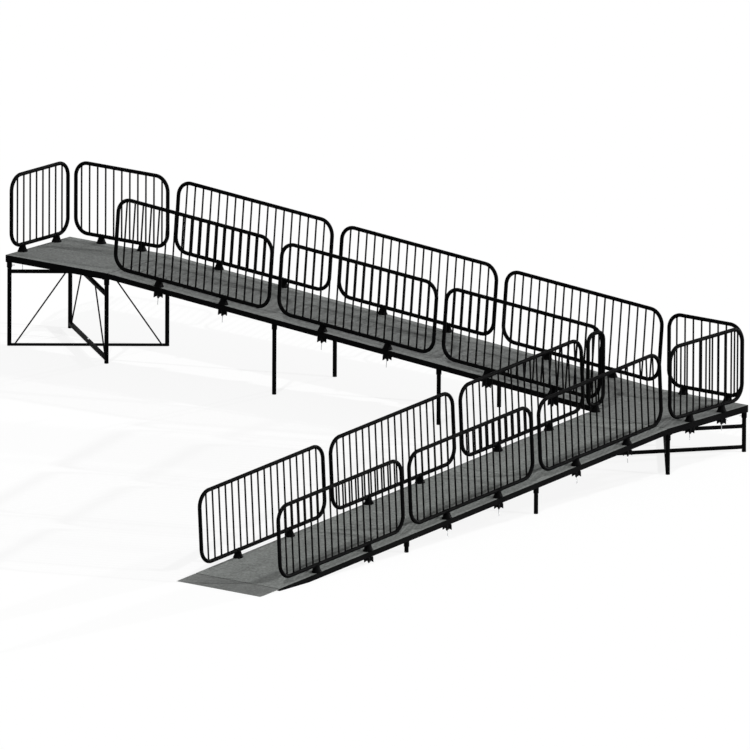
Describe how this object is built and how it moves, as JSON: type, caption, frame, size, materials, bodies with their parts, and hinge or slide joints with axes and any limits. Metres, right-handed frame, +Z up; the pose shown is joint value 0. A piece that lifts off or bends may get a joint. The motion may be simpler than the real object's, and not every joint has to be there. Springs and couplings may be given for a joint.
{
  "type": "portable stage access ramp",
  "caption": "Portable stage access ramp that turns once on a landing, with folding X risers, plug-in legs, clamped guard rails and a hinged approach plate.",
  "frame": {"origin": "centre of the whole ramp's footprint box, on the ground", "axes": "+X down the upper ramp from the top landing to the lower landing, +Y to the back, away from the stage side; the lower ramp runs towards -Y; +Z up"},
  "size_m": [10.1028, 9.2196, 2.0545],
  "materials": {
    "frame_black": "black powder coat, semi-gloss",
    "deck_grey": "plywood with a matt grey textured walking surface",
    "plate_grey": "dull grey mill finish",
    "zinc": "zinc plated",
    "knob_black": "black moulded plastic"
  },
  "bodies": {
    "ramp": {"top_landing_frame": "frame_black", "top_landing_deck": "deck_grey", "mid_landing_frame": "frame_black", "mid_landing_deck": "deck_grey", "upper_ramp_1_frame": "frame_black", "upper_ramp_1_deck": "deck_grey", "upper_ramp_2_frame": "frame_black", "upper_ramp_2_deck": "deck_grey", "upper_ramp_3_frame": "frame_black", "upper_ramp_3_deck": "deck_grey", "lower_ramp_1_frame": "frame_black", "lower_ramp_1_deck": "deck_grey", "lower_ramp_2_frame": "frame_black", "lower_ramp_2_deck": "deck_grey", "lower_ramp_3_frame": "frame_black", "lower_ramp_3_deck": "deck_grey", "approach_hinge_pin": "zinc", "top_riser_outer_frame": "frame_black", "top_riser_lower_bolt": "zinc", "top_riser_upper_bolt": "zinc", "mid_riser_outer_frame": "frame_black", "mid_riser_lower_bolt": "zinc", "mid_riser_upper_bolt": "zinc", "rail_upper_front_1": "frame_black", "rail_upper_front_2": "frame_black", "rail_upper_front_3": "frame_black", "rail_upper_back_1": "frame_black", "rail_upper_back_2": "frame_black", "rail_upper_back_3": "frame_black", "rail_lower_left_1": "frame_black", "rail_lower_left_2": "frame_black", "rail_lower_left_3": "frame_black", "rail_lower_right_1": "frame_black", "rail_lower_right_2": "frame_black", "rail_lower_right_3": "frame_black", "rail_top_back": "frame_black", "rail_top_left": "frame_black", "rail_mid_back": "frame_black", "rail_mid_right": "frame_black", "rail_mid_short": "frame_black"},
    "approach_plate": {"approach_plate": "plate_grey"},
    "top_riser_inner": {"top_riser_inner_frame": "frame_black"},
    "mid_riser_inner": {"mid_riser_inner_frame": "frame_black"},
    "leg_upper_front_2": {"leg_upper_front_2": "frame_black"},
    "leg_upper_front_3": {"leg_upper_front_3": "frame_black"},
    "leg_upper_back_2": {"leg_upper_back_2": "frame_black"},
    "leg_upper_back_3": {"leg_upper_back_3": "frame_black"},
    "leg_lower_left_2": {"leg_lower_left_2": "frame_black"},
    "leg_lower_left_3": {"leg_lower_left_3": "frame_black"},
    "leg_lower_right_2": {"leg_lower_right_2": "frame_black"},
    "leg_lower_right_3": {"leg_lower_right_3": "frame_black"},
    "knob_top_back_1": {"knob_top_back_1": "knob_black"},
    "knob_top_back_2": {"knob_top_back_2": "knob_black"},
    "knob_top_left_1": {"knob_top_left_1": "knob_black"},
    "knob_top_left_2": {"knob_top_left_2": "knob_black"},
    "knob_mid_back_1": {"knob_mid_back_1": "knob_black"},
    "knob_mid_back_2": {"knob_mid_back_2": "knob_black"},
    "knob_mid_right_1": {"knob_mid_right_1": "knob_black"},
    "knob_mid_right_2": {"knob_mid_right_2": "knob_black"},
    "knob_mid_short": {"knob_mid_short": "knob_black"}
  },
  "joints": [
    {"name": "approach_plate_hinge", "type": "hinge", "parent": "ramp", "child": "approach_plate", "pos_m": [4.4196, -4.25956, 0.0185], "axis": [-1, 0, 0], "range_deg": [0, 85]},
    {"name": "top_riser_fold", "type": "hinge", "parent": "ramp", "child": "top_riser_inner", "pos_m": [-4.2672, 3.97034, 0.508], "axis": [0, 0, 1], "range_deg": [0, 68]},
    {"name": "mid_riser_fold", "type": "hinge", "parent": "ramp", "child": "mid_riser_inner", "pos_m": [4.4196, 3.82556, 0.254], "axis": [0, 0, -1], "range_deg": [0, 97]},
    {"name": "leg_upper_front_2_slide", "type": "slide", "parent": "ramp", "child": "leg_upper_front_2", "axis": [0, 0, -1], "range_m": [0, 0.06]},
    {"name": "leg_upper_front_3_slide", "type": "slide", "parent": "ramp", "child": "leg_upper_front_3", "axis": [0, 0, -1], "range_m": [0, 0.06]},
    {"name": "leg_upper_back_2_slide", "type": "slide", "parent": "ramp", "child": "leg_upper_back_2", "axis": [0, 0, -1], "range_m": [0, 0.06]},
    {"name": "leg_upper_back_3_slide", "type": "slide", "parent": "ramp", "child": "leg_upper_back_3", "axis": [0, 0, -1], "range_m": [0, 0.06]},
    {"name": "leg_lower_left_2_slide", "type": "slide", "parent": "ramp", "child": "leg_lower_left_2", "axis": [0, 0, -1], "range_m": [0, 0.06]},
    {"name": "leg_lower_left_3_slide", "type": "slide", "parent": "ramp", "child": "leg_lower_left_3", "axis": [0, 0, -1], "range_m": [0, 0.06]},
    {"name": "leg_lower_right_2_slide", "type": "slide", "parent": "ramp", "child": "leg_lower_right_2", "axis": [0, 0, -1], "range_m": [0, 0.06]},
    {"name": "leg_lower_right_3_slide", "type": "slide", "parent": "ramp", "child": "leg_lower_right_3", "axis": [0, 0, -1], "range_m": [0, 0.06]},
    {"name": "knob_top_back_1_travel", "type": "slide", "parent": "ramp", "child": "knob_top_back_1", "axis": [0, 0, -1], "range_m": [0, 0.06]},
    {"name": "knob_top_back_2_travel", "type": "slide", "parent": "ramp", "child": "knob_top_back_2", "axis": [0, 0, -1], "range_m": [0, 0.06]},
    {"name": "knob_top_left_1_travel", "type": "slide", "parent": "ramp", "child": "knob_top_left_1", "axis": [0, 0, -1], "range_m": [0, 0.06]},
    {"name": "knob_top_left_2_travel", "type": "slide", "parent": "ramp", "child": "knob_top_left_2", "axis": [0, 0, -1], "range_m": [0, 0.06]},
    {"name": "knob_mid_back_1_travel", "type": "slide", "parent": "ramp", "child": "knob_mid_back_1", "axis": [0, 0, -1], "range_m": [0, 0.06]},
    {"name": "knob_mid_back_2_travel", "type": "slide", "parent": "ramp", "child": "knob_mid_back_2", "axis": [0, 0, -1], "range_m": [0, 0.06]},
    {"name": "knob_mid_right_1_travel", "type": "slide", "parent": "ramp", "child": "knob_mid_right_1", "axis": [0, 0, -1], "range_m": [0, 0.06]},
    {"name": "knob_mid_right_2_travel", "type": "slide", "parent": "ramp", "child": "knob_mid_right_2", "axis": [0, 0, -1], "range_m": [0, 0.06]},
    {"name": "knob_mid_short_travel", "type": "slide", "parent": "ramp", "child": "knob_mid_short", "axis": [0, 0, -1], "range_m": [0, 0.06]}
  ]
}
